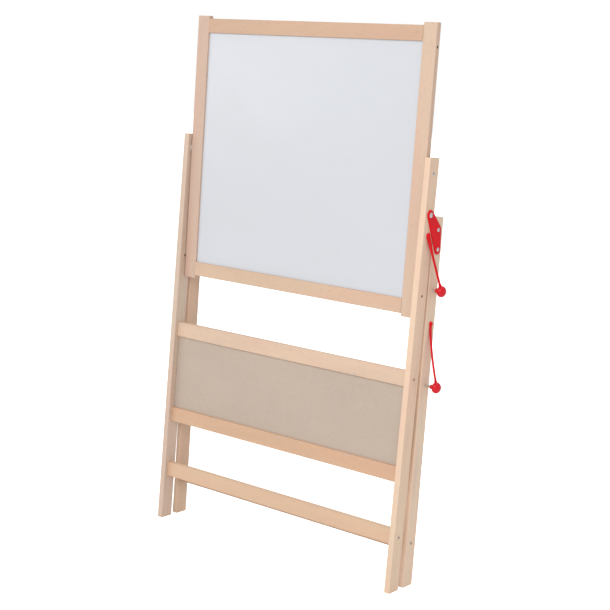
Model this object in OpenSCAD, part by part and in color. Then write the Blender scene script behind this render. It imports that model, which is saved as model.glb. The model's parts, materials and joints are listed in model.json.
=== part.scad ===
// Children's easel: a board that turns over in a folding pair of wooden leg frames.
// +X is the viewer's right, -Y is the front and +Z is up. The origin is on the floor,
// in the middle of the space that the easel stands in.

/* [Overall] */
// Width over the front legs
easel_w = 680; // [560:5:820]
// Length of the front legs
front_leg_len = 922; // [760:2:1120]
// How far the front frame leans back, in degrees
lean = 1.6; // [1:0.1:3]
// How far the frames stand open, in degrees
open_at_rest = 1.1; // [0.5:0.1:3]

/* [Wooden stock] */
// Narrow side of the leg stock
leg_t = 14; // [12:0.5:20]
// Wide side of the leg stock
leg_d = 34; // [28:1:44]
// Thickness of the cross rails
rail_t = 14; // [12:0.5:20]
// Height of the cross rails
rail_h = 34; // [28:1:44]
// Radius of the eased long edges
edge_r = 1.5; // [0.8:0.1:2.5]

/* [Front frame] */
// Height of the middle of the panel's top rail
panel_top_z = 461; // [400:1:540]
// Height of the middle of the panel's bottom rail
panel_bottom_z = 255; // [200:1:320]
// Height of the middle of the front stretcher
front_stretcher_z = 120; // [100:1:160]
// Thickness of the panel
panel_t = 3; // [2:0.5:5]
// Depth of the grooves that hold the panel
panel_groove = 8; // [5:0.5:10]
// Pitch of the staples along a rail
staple_pitch = 194; // [150:1:230]
// Length of a staple
staple_len = 10; // [8:0.5:14]
// Thickness of the staple wire
staple_wire = 1; // [0.8:0.1:1.4]

/* [Board] */
// Height of the board's frame
board_h = 604; // [520:2:700]
// Thickness of the board's frame
board_t = 14; // [12:0.5:18]
// Width of the board's stiles
stile_w = 33; // [28:0.5:40]
// Height of the board's rails
board_rail_h = 32; // [26:0.5:38]
// How far the stiles stand out past the rails
stile_horn = 6; // [2:0.5:12]
// Gap between a stile and its leg
board_gap = 2; // [1.5:0.1:3.5]
// Thickness of each writing sheet
sheet_t = 0.4; // [0.3:0.1:1]
// Thickness of the board's core
core_t = 4; // [3:0.5:6]
// Depth of the grooves that hold the board's core and sheets
board_groove = 8; // [5:0.5:10]
// How far the board leans forward from the front legs, in degrees
board_tilt = 1.4; // [0:0.1:2.5]
// Distance from the top of the legs down to the board's pivot
pivot_drop = 32; // [24:1:60]
// Distance from the board's pivot to its lock holes
lock_reach = 253; // [200:1:265]

/* [Rear frame] */
// Distance from the top of the front legs down to the frame hinge
hinge_drop = 117; // [100:1:140]
// Distance from the frame hinge down to the top of the rear legs
rear_top_drop = 5; // [0:0.5:10]
// Gap between the frames when they are folded flat
fold_gap = 3; // [2:0.5:8]
// Height of the middle of the rear stretcher
rear_stretcher_z = 97; // [60:1:140]
// Height of the middle of the rear frame's middle rail
rear_rail_z = 370; // [330:1:390]
// Sideways play between the hinge plates and the front legs
hinge_play = 0.3; // [0.2:0.05:0.5]

/* [Hinge plates] */
// Thickness of a hinge plate
plate_t = 3; // [2:0.5:5]
// Radius of the plate's three rounded corners
plate_corner_r = 10.5; // [8:0.5:12]
// Distance down from the hinge to the plate's upper screw
plate_screw_drop_a = 31; // [24:1:40]
// Distance down from the hinge to the plate's lower screw
plate_screw_drop_b = 72; // [60:1:90]
// How far the upper screw stands in front of the middle of the rear leg
plate_screw_shift = 4; // [0:0.5:6]

/* [Fasteners] */
// Radius of the board's pivot bolts
bolt_r = 3; // [2.5:0.1:4]
// Outer radius of the pivot bushings
bushing_r = 5; // [4.2:0.1:6]
// Length of the pivot bushings
bushing_len = 24; // [16:1:28]
// Radius of the hinge's shoulder screws
shoulder_r = 4; // [3:0.1:5]
// Radius of the wood screws
screw_r = 2; // [1.5:0.1:2.5]
// Radius of the rail screws' heads, sunk in the legs
sunk_head_r = 3.5; // [3:0.1:4.5]
// How deep the rail screws' heads lie under the wood
screw_sink = 1.5; // [0:0.5:3]
// Radius of the hinge plate screws' heads
plate_head_r = 4.5; // [3.5:0.1:5.5]
// Length of the screws that hold the cross rails
rail_screw_len = 45; // [30:1:60]
// Length of the hinge plate screws under the head
plate_screw_len = 14; // [10:0.5:15]
// Radius of the wooden dowels
dowel_r = 3; // [2.5:0.1:4]
// Length of the wooden dowels
dowel_len = 30; // [20:1:40]

/* [Lock pins and straps] */
// Radius of the knobs, seen along their pin
knob_r = 12; // [9:0.5:13]
// Thickness of the knobs along their pin
knob_w = 19; // [16:0.5:22]
// Radius of the steel pins
pin_r = 3; // [2:0.1:3.6]
// Length of the steel pins past the knob's neck
pin_reach = 20; // [20:1:26]
// Radius of the knob's neck
neck_r = 4.2; // [3.8:0.1:5.5]
// Length of the knob's neck
neck_len = 4; // [3:0.5:7]
// How deep the upper pins stand in the rear legs
upper_pin_depth = 13; // [6:0.5:13]
// How deep the lower pins stand in the rear legs
lower_pin_depth = 5; // [4:0.5:12]
// Distance down from the board's pivot to the upper strap's button
strap_drop = 128; // [118:1:150]
// Distance down from the frame hinge to the lower strap's button
lower_strap_drop = 229; // [215:1:250]
// Distance down from the frame hinge to the upper lock pin
upper_pin_drop = 158; // [150:1:165]
// Distance down from the frame hinge to the lower lock pin
lower_pin_drop = 361; // [345:1:375]
// Radius of the strap's button
button_r = 5.5; // [4.5:0.5:7]
// Height of the strap's button
button_h = 5; // [4:0.5:6]
// Width of the straps
strap_w = 6; // [4:0.5:8]
// Thickness of the straps
strap_t = 2.5; // [1.5:0.5:3]

/* [Hidden] */
$fn = 48;

wood = [0.89, 0.74, 0.58];
panel_grey = [0.77, 0.70, 0.62];
red = [0.82, 0.10, 0.14];
steel = [0.72, 0.72, 0.74];

// Clearances
snug = 0.05;          // round a screw, dowel or button that is driven in
running = 0.08;       // between a shaft and the bore that turns on it
slide_play = 0.1;     // round a lock pin
groove_play = 0.2;    // round a panel in its groove
strap_gap = 4;        // between the end of a strap and its knob

half_w = easel_w / 2;
inner_half = half_w - leg_t;
rail_len = 2 * inner_half;
leg_mid = leg_d / 2;
rear_half_w = half_w + hinge_play;
rear_inner = rear_half_w - leg_t;
foot_spare = 10;      // wood below the floor, before the feet are cut flat
big = 2 * easel_w;

// Places on a frame: u is measured up the legs, and v back from the front legs' front faces
pivot_u = front_leg_len - pivot_drop;
hinge_u = front_leg_len - hinge_drop;
rear_leg_v = leg_d + fold_gap;
rear_mid_v = rear_leg_v + leg_mid;
rear_top_u = hinge_u - rear_top_drop;

// A place on the rear frame [v, u], as it lies on the front frame
function from_rear(p) = [
    leg_mid + (p.x - leg_mid) * cos(open_at_rest) - (p.y - hinge_u) * sin(open_at_rest),
    hinge_u + (p.x - leg_mid) * sin(open_at_rest) + (p.y - hinge_u) * cos(open_at_rest)
];

// The rear legs' top back corner is the rearmost point, and a front foot's edge the foremost
rear_corner = from_rear([rear_leg_v + leg_d, rear_top_u]);
depth = rear_corner.x * cos(lean) + rear_corner.y * sin(lean);

// Panel in its two rails
panel_low = panel_bottom_z + rail_h / 2 - panel_groove;
panel_high = panel_top_z - rail_h / 2 + panel_groove;
front_rail_v = leg_mid - rail_t / 2;
staple_inset = 4;     // from the rail's edge to the staple
staple_reach = 9;     // how deep a staple's legs go
staple_leg_r = staple_wire * 0.45;

// Rail joints
leg_socket = leg_t * 0.6;
// The heights of a rail's two dowels from its middle, clear of a groove in its top edge
function dowel_pair(h, groove) = [for (share = [0.25, 0.75]) share * (h - groove) - h / 2];
low_dowels = dowel_pair(rail_h, panel_groove);
plain_dowels = dowel_pair(rail_h, 0);
board_dowel_pair = dowel_pair(board_rail_h, board_groove);
sunk_head_h = 2;
head_well = screw_sink + sunk_head_h + snug;

// Board, measured from its pivot
board_half_w = inner_half - board_gap;
board_half_h = board_h / 2;
board_inner_half = board_half_w - stile_w;
board_rail_u = board_half_h - stile_horn - board_rail_h / 2;
stack_t = core_t + 2 * sheet_t;
stack_half_w = board_inner_half + board_groove;
stack_half_h = board_rail_u - board_rail_h / 2 + board_groove;
board_dowel_us = [for (side = [-1, 1], d = board_dowel_pair) side * (board_rail_u - d)];
dowel_half = dowel_len / 2;
lock_hole_depth = 14;

// Board pivots
spacer_t = board_gap - 0.2;
spacer_r = 8;
bolt_head_r = 4;
bolt_head_h = 3;
bolt_end = board_half_w - bushing_len + 2;

// Hinge plates and their screws: [v, u] on the rear frame
plate_face = rear_half_w + plate_t;
hinge_spot = [leg_mid, hinge_u];
plate_spots = [
    [rear_mid_v - plate_screw_shift, hinge_u - plate_screw_drop_a],
    [rear_mid_v, hinge_u - plate_screw_drop_b]
];
shoulder_head_r = 5.5;
shoulder_head_h = 2.6;
shoulder_gap = 0.2;
shoulder_shank_r = 2.5;
pan_h = 2.4;

// Lock pins: [v, u] on the rear frame
upper_spot = [rear_mid_v, hinge_u - upper_pin_drop];
lower_spot = [rear_mid_v, hinge_u - lower_pin_drop];
pin_socket = 8;
pin_tip = 1;          // chamfer of the pin's end
grip = 0.02;          // between a pin and its knob

// Straps
button_stem_r = 2.2;
stem_len = 12;
upper_button = [leg_mid, pivot_u - strap_drop];
lower_button = [rear_mid_v, hinge_u - lower_strap_drop];
strap_steps = 5;

// ---- Frames of reference ----

module on_front() {
    translate([0, -depth / 2, 0]) rotate([-lean, 0, 0]) children();
}

module on_rear() {
    on_front()
        translate([0, leg_mid, hinge_u])
            rotate([open_at_rest, 0, 0])
                translate([0, -leg_mid, -hinge_u])
                    children();
}

module on_board() {
    on_front() translate([0, leg_mid, pivot_u]) rotate([board_tilt, 0, 0]) children();
}

module left() {
    mirror([1, 0, 0]) children();
}

module both() {
    children();
    left() children();
}

// ---- Shared shapes ----

// A rectangle with rounded corners, its corner at the origin
module eased_rect(a, b, r) {
    translate([r, 0]) square([a - 2 * r, b]);
    translate([0, r]) square([a, b - 2 * r]);
    for (x = [r, a - r], y = [r, b - r])
        translate([x, y]) circle(r = r);
}

// A slat along X, from x0 to x1, with its middle at v and u
module cross_bar(x0, x1, v, u, t, h) {
    translate([x0, v - t / 2, u - h / 2])
        rotate([90, 0, 90])
            linear_extrude(x1 - x0) eased_rect(t, h, edge_r);
}

// A slat that stands up from u0 to u1, with its corner at x and v
module upright(x, v, u0, u1, w, d) {
    translate([x, v, u0]) linear_extrude(u1 - u0) eased_rect(w, d, edge_r);
}

// A box between two corners
module block(low, high) {
    translate(low) cube(high - low);
}

// A round rod along X, at the place p = [v, u]
module rod(x0, x1, p, r) {
    translate([x0, p.x, p.y]) rotate([0, 90, 0]) cylinder(r = r, h = x1 - x0);
}

// A domed screw head that faces +X, with a cross recess
module pan_head(x, p, r, h) {
    ball_r = (r * r + h * h) / (2 * h);
    translate([x, p.x, p.y]) rotate([0, 90, 0])
        difference() {
            intersection() {
                cylinder(r = r, h = h);
                translate([0, 0, h - ball_r]) sphere(r = ball_r, $fn = 96);
            }
            cross_recess(r, h);
        }
}

// The recess for a driver, centred on the head's axis
module cross_recess(r, h) {
    for (a = [0, 90])
        rotate([0, 0, a])
            translate([-r * 0.55, -0.5, h * 0.45]) cube([r * 1.1, 1, h]);
}

// Everything under the floor
module below_floor() {
    translate([-big / 2, -big / 2, -4 * foot_spare]) cube([big, big, 4 * foot_spare]);
}

// ---- Front frame ----

module front_leg() {
    difference() {
        on_front()
            difference() {
                upright(inner_half, 0, -foot_spare, front_leg_len, leg_t, leg_d);
                front_leg_holes();
            }
        below_floor();
    }
}

module front_leg_holes() {
    x0 = inner_half - 1;
    x1 = half_w + 1;
    pivot = [leg_mid, pivot_u];
    rod(x0, x1, pivot, bolt_r + snug);
    rod(half_w - bolt_head_h - snug, x1, pivot, bolt_head_r + snug);
    rod(half_w - stem_len - 1, x1, upper_button, button_stem_r + snug);
    rod(x0, x1, [leg_mid, pivot_u - lock_reach], pin_r + slide_play);
    rod(x0, x1, hinge_spot, shoulder_shank_r + snug);
    for (u = [panel_top_z, front_stretcher_z]) {
        rod(x0, x1, [leg_mid, u], screw_r + snug);
        rod(half_w - head_well, x1, [leg_mid, u], sunk_head_r + snug);
    }
    for (du = low_dowels)
        rod(x0, inner_half + leg_socket, [leg_mid, panel_bottom_z + du], dowel_r + snug);
}

module front_leg_right() {
    color(wood) front_leg();
}

module front_leg_left() {
    color(wood) left() front_leg();
}

// The pilot holes of the two screws in a rail's ends
module rail_pilots(half_len, v, u) {
    both()
        rod(half_len + leg_t - screw_sink - rail_screw_len - 1, half_len + 1, [v, u], screw_r + snug);
}

// The dowel holes in a rail's ends
module rail_dowel_holes(half_len, v, u, dus) {
    both()
        for (du = dus)
            rod(half_len + leg_socket - dowel_len - 1, half_len + 1, [v, u + du], dowel_r + snug);
}

// The staples' holes near a rail's edge, at the height u
module staple_holes(u) {
    for (i = [-1, 0, 1], side = [-1, 1])
        translate([i * staple_pitch + side * (staple_len - staple_wire) / 2, front_rail_v - 1, u])
            rotate([-90, 0, 0])
                cylinder(r = staple_leg_r + snug, h = staple_reach + 2);
}

module panel_slot() {
    block(
        [-big / 2, leg_mid - panel_t / 2 - groove_play / 2, panel_low - groove_play],
        [big / 2, leg_mid + panel_t / 2 + groove_play / 2, panel_high + groove_play]
    );
}

staple_high_u = panel_high - panel_groove + staple_inset;
staple_low_u = panel_low + panel_groove - staple_inset;

module panel_top_rail() {
    color(wood) on_front()
        difference() {
            cross_bar(-inner_half, inner_half, leg_mid, panel_top_z, rail_t, rail_h);
            rail_pilots(inner_half, leg_mid, panel_top_z);
            panel_slot();
            staple_holes(staple_high_u);
        }
}

module panel_bottom_rail() {
    color(wood) on_front()
        difference() {
            cross_bar(-inner_half, inner_half, leg_mid, panel_bottom_z, rail_t, rail_h);
            rail_dowel_holes(inner_half, leg_mid, panel_bottom_z, low_dowels);
            panel_slot();
            staple_holes(staple_low_u);
        }
}

module front_stretcher() {
    color(wood) on_front()
        difference() {
            cross_bar(-inner_half, inner_half, leg_mid, front_stretcher_z, rail_t, rail_h);
            rail_pilots(inner_half, leg_mid, front_stretcher_z);
        }
}

module front_panel() {
    side_play = 0.5;
    color(panel_grey) on_front()
        difference() {
            block(
                [-inner_half + side_play, leg_mid - panel_t / 2, panel_low],
                [inner_half - side_play, leg_mid + panel_t / 2, panel_high]
            );
            staple_holes(staple_high_u);
            staple_holes(staple_low_u);
        }
}

module staple(x, u) {
    translate([x - staple_len / 2, front_rail_v - staple_wire, u - staple_wire / 2])
        cube([staple_len, staple_wire, staple_wire]);
    for (side = [-1, 1])
        translate([x + side * (staple_len - staple_wire) / 2, front_rail_v - staple_wire / 2, u])
            rotate([-90, 0, 0])
                cylinder(r = staple_leg_r, h = staple_reach);
}

module panel_staples() {
    color(steel) on_front()
        for (i = [-1, 0, 1], u = [staple_high_u, staple_low_u])
            staple(i * staple_pitch, u);
}

// A sunk screw through a leg into a rail's end
module rail_screw(outer_x, p) {
    neck_x = outer_x - sunk_head_h;
    difference() {
        rod(neck_x, outer_x, p, sunk_head_r);
        translate([neck_x, p.x, p.y]) rotate([0, 90, 0]) cross_recess(sunk_head_r, sunk_head_h);
    }
    rod(outer_x - rail_screw_len, neck_x, p, screw_r);
}

module front_frame_screws() {
    color(steel) on_front() both()
        for (u = [panel_top_z, front_stretcher_z])
            rail_screw(half_w - screw_sink, [leg_mid, u]);
}

module front_frame_dowels() {
    x1 = inner_half + leg_socket;
    color(wood) on_front() both()
        for (du = low_dowels)
            rod(x1 - dowel_len, x1, [leg_mid, panel_bottom_z + du], dowel_r);
}

module board_pivot_bolts() {
    hex_r = 2.2;
    color(steel) on_front() both() {
        difference() {
            rod(half_w - bolt_head_h, half_w, [leg_mid, pivot_u], bolt_head_r);
            translate([half_w - bolt_head_h * 0.7, leg_mid, pivot_u])
                rotate([0, 90, 0])
                    cylinder(r = hex_r, h = bolt_head_h, $fn = 6);
        }
        rod(bolt_end, half_w - bolt_head_h, [leg_mid, pivot_u], bolt_r);
    }
}

module board_pivot_spacers() {
    color("white") on_front() both()
        difference() {
            rod(inner_half - spacer_t, inner_half, [leg_mid, pivot_u], spacer_r);
            rod(inner_half - board_gap, inner_half + 1, [leg_mid, pivot_u], bolt_r + snug);
        }
}

module hinge_shoulder_screws() {
    head_x = plate_face + shoulder_gap;
    color(steel) on_front() both() {
        pan_head(head_x, hinge_spot, shoulder_head_r, shoulder_head_h);
        rod(half_w, head_x, hinge_spot, shoulder_r);
        rod(inner_half + 1, half_w, hinge_spot, shoulder_shank_r);
    }
}

// ---- Straps ----

// The button that holds a strap on a leg's outer face, with its stem in the leg
module strap_button(face_x, p) {
    ball_r = (button_r * button_r + button_h * button_h) / (2 * button_h);
    translate([face_x, p.x, p.y]) rotate([0, 90, 0])
        intersection() {
            cylinder(r = button_r, h = button_h);
            translate([0, 0, button_h - ball_r]) sphere(r = ball_r, $fn = 96);
        }
    rod(face_x - stem_len, face_x, p, button_stem_r);
}

// The end of a strap: the point of the line from a to the knob's middle k that is just off the knob
function off_knob(a, k) = k + (a - k) * (knob_r + strap_gap) / norm(a - k);

// A strap's middle at the share t of its way; bow is above 1 where it first hugs the leg
function on_strap(a, b, bow, t) = [
    a.x + (b.x - a.x) * pow(t, bow),
    a.y + (b.y - a.y) * t,
    a.z + (b.z - a.z) * t
];

module strap_band(a, b, bow) {
    for (i = [0:strap_steps - 1])
        hull()
            for (t = [i, i + 1] / strap_steps)
                translate(on_strap(a, b, bow, t))
                    cube([strap_t, strap_w, 0.4], center = true);
}

function knob_x(pin_depth) = rear_half_w + pin_reach - pin_depth + neck_len + knob_w / 2;

module upper_strap() {
    a = [half_w + strap_t / 2 + 0.2, upper_button.x, upper_button.y];
    spot = from_rear(upper_spot);
    k = [knob_x(upper_pin_depth), spot.x, spot.y];
    on_front() {
        strap_button(half_w, upper_button);
        strap_band(a, off_knob(a, k), 1.15);
    }
}

module upper_strap_right() {
    color(red) upper_strap();
}

module upper_strap_left() {
    color(red) left() upper_strap();
}

module lower_strap() {
    a = [rear_half_w + strap_t / 2 + 0.2, lower_button.x, lower_button.y];
    k = [knob_x(lower_pin_depth), lower_spot.x, lower_spot.y];
    on_rear() {
        strap_button(rear_half_w, lower_button);
        strap_band(a, off_knob(a, k), 1.5);
    }
}

module lower_strap_right() {
    color(red) lower_strap();
}

module lower_strap_left() {
    color(red) left() lower_strap();
}

// ---- Rear frame ----

module rear_leg() {
    difference() {
        on_rear()
            difference() {
                upright(rear_inner, rear_leg_v, -foot_spare, rear_top_u, leg_t, leg_d);
                rear_leg_holes();
            }
        below_floor();
    }
}

module rear_leg_holes() {
    x0 = rear_inner - 1;
    x1 = rear_half_w + 1;
    for (p = [upper_spot, lower_spot])
        rod(x0, x1, p, pin_r + slide_play);
    rod(rear_half_w - stem_len - 1, x1, lower_button, button_stem_r + snug);
    for (p = plate_spots)
        rod(rear_half_w - plate_screw_len, x1, p, screw_r + snug);
    rod(x0, x1, [rear_mid_v, rear_stretcher_z], screw_r + snug);
    rod(rear_half_w - head_well, x1, [rear_mid_v, rear_stretcher_z], sunk_head_r + snug);
    for (du = plain_dowels)
        rod(x0, rear_inner + leg_socket, [rear_mid_v, rear_rail_z + du], dowel_r + snug);
}

module rear_leg_right() {
    color(wood) rear_leg();
}

module rear_leg_left() {
    color(wood) left() rear_leg();
}

module rear_middle_rail() {
    color(wood) on_rear()
        difference() {
            cross_bar(-rear_inner, rear_inner, rear_mid_v, rear_rail_z, rail_t, rail_h);
            rail_dowel_holes(rear_inner, rear_mid_v, rear_rail_z, plain_dowels);
        }
}

module rear_stretcher() {
    color(wood) on_rear()
        difference() {
            cross_bar(-rear_inner, rear_inner, rear_mid_v, rear_stretcher_z, rail_t, rail_h);
            rail_pilots(rear_inner, rear_mid_v, rear_stretcher_z);
        }
}

module rear_frame_screws() {
    color(steel) on_rear() both() rail_screw(rear_half_w - screw_sink, [rear_mid_v, rear_stretcher_z]);
}

module rear_frame_dowels() {
    x1 = rear_inner + leg_socket;
    color(wood) on_rear() both()
        for (du = plain_dowels)
            rod(x1 - dowel_len, x1, [rear_mid_v, rear_rail_z + du], dowel_r);
}

// ---- Hinge plates ----

// The plate's outline: a triangle between its three screws, with a rounded margin
module plate_outline() {
    offset(r = plate_corner_r) polygon([hinge_spot, plate_spots[0], plate_spots[1]]);
}

module hinge_plate() {
    on_rear()
        difference() {
            translate([rear_half_w, 0, 0]) rotate([90, 0, 90]) linear_extrude(plate_t) plate_outline();
            rod(half_w, plate_face + 1, hinge_spot, shoulder_r + running);
            for (p = plate_spots)
                rod(half_w, plate_face + 1, p, screw_r + snug);
        }
}

module hinge_plate_right() {
    color(red) hinge_plate();
}

module hinge_plate_left() {
    color(red) left() hinge_plate();
}

module hinge_plate_screws() {
    color(steel) on_rear() both()
        for (p = plate_spots) {
            pan_head(plate_face, p, plate_head_r, pan_h);
            rod(plate_face - plate_screw_len, plate_face, p, screw_r);
        }
}

// ---- Lock pins ----

// A ball that is pressed flatter along X
module flat_ball(x, p, r, w) {
    translate([x, p.x, p.y]) rotate([0, 90, 0])
        rotate_extrude()
            polygon([for (a = [-90:7.5:90]) [r * cos(a), w / 2 * sin(a)]]);
}

module knob(p, pin_depth) {
    x = knob_x(pin_depth);
    neck_x = x - knob_w / 2 - neck_len;
    on_rear()
        difference() {
            union() {
                flat_ball(x, p, knob_r, knob_w);
                rod(neck_x, x, p, neck_r);
            }
            rod(neck_x - 1, neck_x + neck_len + pin_socket, p, pin_r + grip);
        }
}

module lock_pin(p, pin_depth) {
    tip_x = rear_half_w - pin_depth;
    end_x = knob_x(pin_depth) - knob_w / 2 + pin_socket;
    on_rear() {
        rod(tip_x + pin_tip, end_x, p, pin_r);
        translate([tip_x, p.x, p.y]) rotate([0, 90, 0])
            cylinder(r1 = pin_r - pin_tip * 0.6, r2 = pin_r, h = pin_tip);
    }
}

module upper_knob_right() {
    color(red) knob(upper_spot, upper_pin_depth);
}

module upper_knob_left() {
    color(red) left() knob(upper_spot, upper_pin_depth);
}

module lower_knob_right() {
    color(red) knob(lower_spot, lower_pin_depth);
}

module lower_knob_left() {
    color(red) left() knob(lower_spot, lower_pin_depth);
}

module upper_pin_right() {
    color(steel) lock_pin(upper_spot, upper_pin_depth);
}

module upper_pin_left() {
    color(steel) left() lock_pin(upper_spot, upper_pin_depth);
}

module lower_pin_right() {
    color(steel) lock_pin(lower_spot, lower_pin_depth);
}

module lower_pin_left() {
    color(steel) left() lock_pin(lower_spot, lower_pin_depth);
}

// ---- Board ----

module board_slot() {
    w = stack_half_w + groove_play;
    h = stack_half_h + groove_play;
    t = stack_t / 2 + groove_play / 2;
    block([-w, -t, -h], [w, t, h]);
}

module board_dowel_holes() {
    both()
        for (u = board_dowel_us)
            rod(board_inner_half - dowel_half - 1, board_inner_half + dowel_half + 1, [0, u], dowel_r + snug);
}

module board_stile() {
    x1 = board_half_w + 1;
    on_board()
        difference() {
            upright(board_inner_half, -board_t / 2, -board_half_h, board_half_h, stile_w, board_t);
            board_slot();
            board_dowel_holes();
            rod(board_half_w - bushing_len, x1, [0, 0], bushing_r + snug);
            for (side = [-1, 1])
                rod(board_half_w - lock_hole_depth, x1, [0, side * lock_reach], pin_r + slide_play);
        }
}

module board_stile_right() {
    color(wood) board_stile();
}

module board_stile_left() {
    color(wood) left() board_stile();
}

module board_rail(side) {
    on_board()
        difference() {
            cross_bar(-board_inner_half, board_inner_half, 0, side * board_rail_u, board_t, board_rail_h);
            board_slot();
            board_dowel_holes();
        }
}

module board_top_rail() {
    color(wood) board_rail(1);
}

module board_bottom_rail() {
    color(wood) board_rail(-1);
}

module board_dowels() {
    color(wood) on_board() both()
        for (u = board_dowel_us)
            rod(board_inner_half - dowel_half, board_inner_half + dowel_half, [0, u], dowel_r);
}

// One layer of the board, from v0 to v1
module board_layer(v0, v1) {
    on_board() block([-stack_half_w, v0, -stack_half_h], [stack_half_w, v1, stack_half_h]);
}

module board_core() {
    color("tan") board_layer(-core_t / 2, core_t / 2);
}

module white_sheet() {
    color([0.88, 0.90, 0.93]) board_layer(-stack_t / 2, -core_t / 2);
}

module chalk_sheet() {
    color([0.12, 0.14, 0.14]) board_layer(core_t / 2, stack_t / 2);
}

module board_pivot_bushings() {
    color("goldenrod") on_board() both()
        difference() {
            rod(board_half_w - bushing_len, board_half_w, [0, 0], bushing_r);
            rod(board_half_w - bushing_len - 1, board_half_w + 1, [0, 0], bolt_r + running);
        }
}

front_leg_left();
front_leg_right();
panel_top_rail();
panel_bottom_rail();
front_stretcher();
front_panel();
panel_staples();
front_frame_screws();
front_frame_dowels();
board_pivot_bolts();
board_pivot_spacers();
hinge_shoulder_screws();
upper_strap_left();
upper_strap_right();
rear_leg_left();
rear_leg_right();
rear_middle_rail();
rear_stretcher();
rear_frame_screws();
rear_frame_dowels();
hinge_plate_left();
hinge_plate_right();
hinge_plate_screws();
lower_strap_left();
lower_strap_right();
board_stile_left();
board_stile_right();
board_top_rail();
board_bottom_rail();
board_dowels();
board_core();
white_sheet();
chalk_sheet();
board_pivot_bushings();
upper_knob_left();
upper_knob_right();
lower_knob_left();
lower_knob_right();
upper_pin_left();
upper_pin_right();
lower_pin_left();
lower_pin_right();
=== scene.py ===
import json
import logging
import math
from collections.abc import Sequence
from dataclasses import dataclass
from enum import Enum

import bmesh
import bpy
from mathutils import Matrix, Vector


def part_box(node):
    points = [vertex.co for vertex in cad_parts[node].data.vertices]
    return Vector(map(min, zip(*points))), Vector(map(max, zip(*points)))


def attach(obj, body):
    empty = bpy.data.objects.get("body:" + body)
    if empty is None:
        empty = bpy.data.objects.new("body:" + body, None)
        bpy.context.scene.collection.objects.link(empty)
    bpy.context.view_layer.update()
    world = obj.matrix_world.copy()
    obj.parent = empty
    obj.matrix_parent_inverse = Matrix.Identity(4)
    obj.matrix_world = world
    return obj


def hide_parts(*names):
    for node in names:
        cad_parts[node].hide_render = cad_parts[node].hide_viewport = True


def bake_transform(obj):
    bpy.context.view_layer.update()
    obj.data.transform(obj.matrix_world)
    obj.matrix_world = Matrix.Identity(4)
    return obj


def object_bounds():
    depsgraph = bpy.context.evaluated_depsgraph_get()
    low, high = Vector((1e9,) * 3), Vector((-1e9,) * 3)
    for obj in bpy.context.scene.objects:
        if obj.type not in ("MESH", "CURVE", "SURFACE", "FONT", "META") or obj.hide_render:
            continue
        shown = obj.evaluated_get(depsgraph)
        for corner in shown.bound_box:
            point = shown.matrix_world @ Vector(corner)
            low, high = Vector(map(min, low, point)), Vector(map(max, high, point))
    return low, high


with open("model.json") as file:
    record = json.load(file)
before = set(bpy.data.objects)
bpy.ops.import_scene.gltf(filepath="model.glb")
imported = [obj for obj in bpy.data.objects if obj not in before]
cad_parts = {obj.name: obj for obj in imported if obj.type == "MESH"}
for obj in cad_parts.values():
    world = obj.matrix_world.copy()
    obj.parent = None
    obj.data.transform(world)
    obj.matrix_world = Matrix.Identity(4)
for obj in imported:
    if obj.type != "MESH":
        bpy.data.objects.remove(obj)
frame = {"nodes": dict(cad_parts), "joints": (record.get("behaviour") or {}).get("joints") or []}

CAD_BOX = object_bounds()
LOG = logging.getLogger("easel")

Colour = tuple[float, float, float]
Inputs = dict[str | int, object]

MM = 0.001
SIDES = {"left": -1, "right": 1}
OUTWARD = Vector((1, 0, 0))


# ---- Places taken from the frame ----


def joint(name: str) -> dict:
    """Finds a joint in the frame by its name."""
    return next(j for j in frame["joints"] if j["name"] == name)


@dataclass(frozen=True)
class LegPlane:
    """The plane that a pair of legs lies in, seen from the side.

    Attributes:
        origin: The place that lengths are measured from, on the legs' middle line.
        up: The way up along the legs.
        back: The way back, square to the legs.
    """

    origin: Vector
    up: Vector
    back: Vector

    def at(self, x: float, back: float, up: float) -> Vector:
        """Gives the place that lies x across, and back and up from the origin."""
        return self.origin + OUTWARD * x + self.back * back + self.up * up

    def tilt(self) -> float:
        """Gives the angle by which the legs lean back, in radians."""
        return math.atan2(self.up.y, self.up.z)

    def turned(self, angle: float) -> "LegPlane":
        """Gives the plane turned about the X axis through its origin, by an angle in radians."""
        turn = Matrix.Rotation(angle, 3, "X")
        return LegPlane(self.origin, turn @ self.up, turn @ self.back)


def leg_planes() -> tuple[LegPlane, LegPlane]:
    """Works out both frames' planes from the joints.

    Returns:
        The front and the rear frame's plane, each with its origin on the frame hinge.
    """
    hinge = Vector(joint("rear_fold")["pos_m"])
    pivot = Vector(joint("board_turn")["pos_m"])
    up = (pivot - hinge).normalized()
    front = LegPlane(hinge, up, up.cross(OUTWARD))
    open_at_rest = math.radians(-joint("rear_fold")["range_deg"][0])
    return front, front.turned(open_at_rest)


# ---- Shader building ----


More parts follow.
